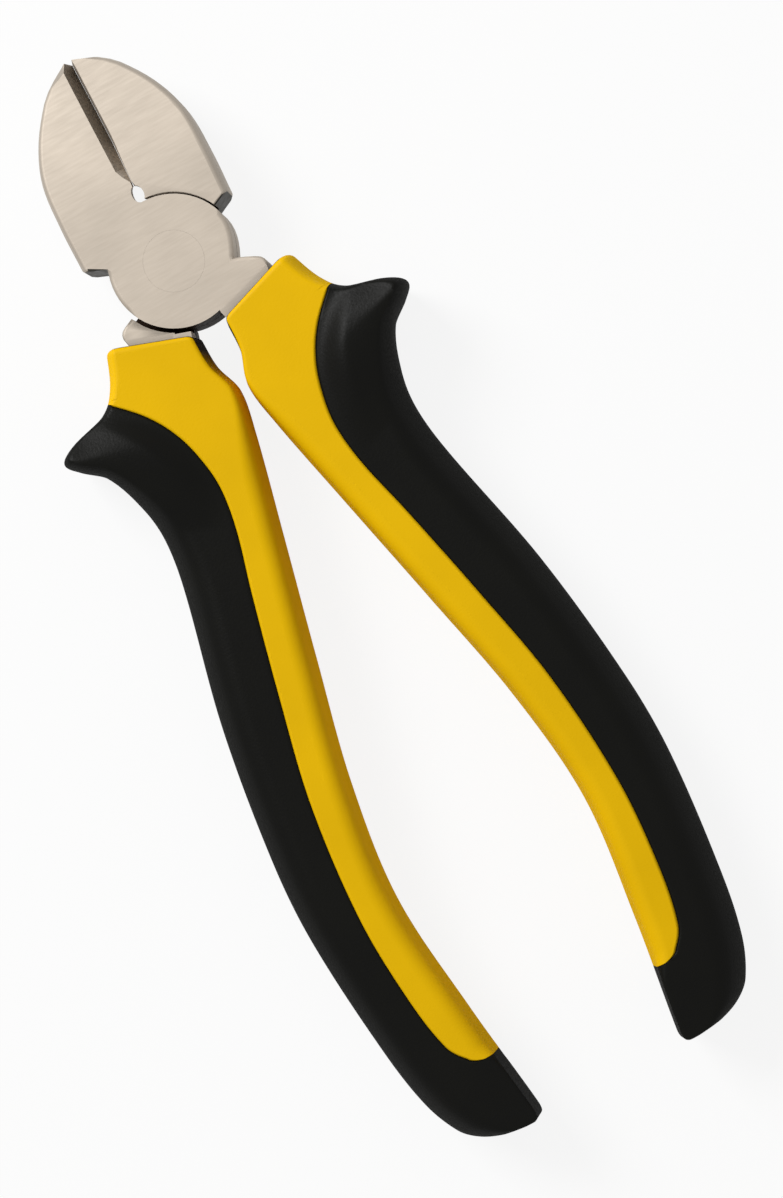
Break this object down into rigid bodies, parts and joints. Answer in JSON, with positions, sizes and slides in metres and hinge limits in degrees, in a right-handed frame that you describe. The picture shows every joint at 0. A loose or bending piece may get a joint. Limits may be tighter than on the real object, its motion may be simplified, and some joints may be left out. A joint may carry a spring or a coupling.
{
  "type": "cutting pliers",
  "caption": "Diagonal cutting pliers with a riveted lap joint, bright steel jaws and yellow and black moulded grips with finger guards.",
  "frame": {"origin": "on the pivot axis, on the flat back face of the joint", "axes": "+Y along the tool from the handles to the jaw tips, +Z out of the front face along the pivot axis, +X to the right"},
  "size_m": [0.056, 0.1594, 0.015],
  "materials": {
    "steel": "satin, ground and plated",
    "yellow_plastic": "fine moulded texture",
    "black_rubber": "soft satin"
  },
  "bodies": {
    "front_lever": {"front_half": "steel", "pivot_rivet": "steel", "right_sleeve": "yellow_plastic", "right_overmould": "black_rubber"},
    "rear_lever": {"rear_half": "steel", "left_sleeve": "yellow_plastic", "left_overmould": "black_rubber"}
  },
  "joints": [
    {"name": "pivot", "type": "hinge", "parent": "front_lever", "child": "rear_lever", "pos_m": [0, 0, 0.005], "axis": [0, 0, -1], "range_deg": [0, 45]}
  ]
}
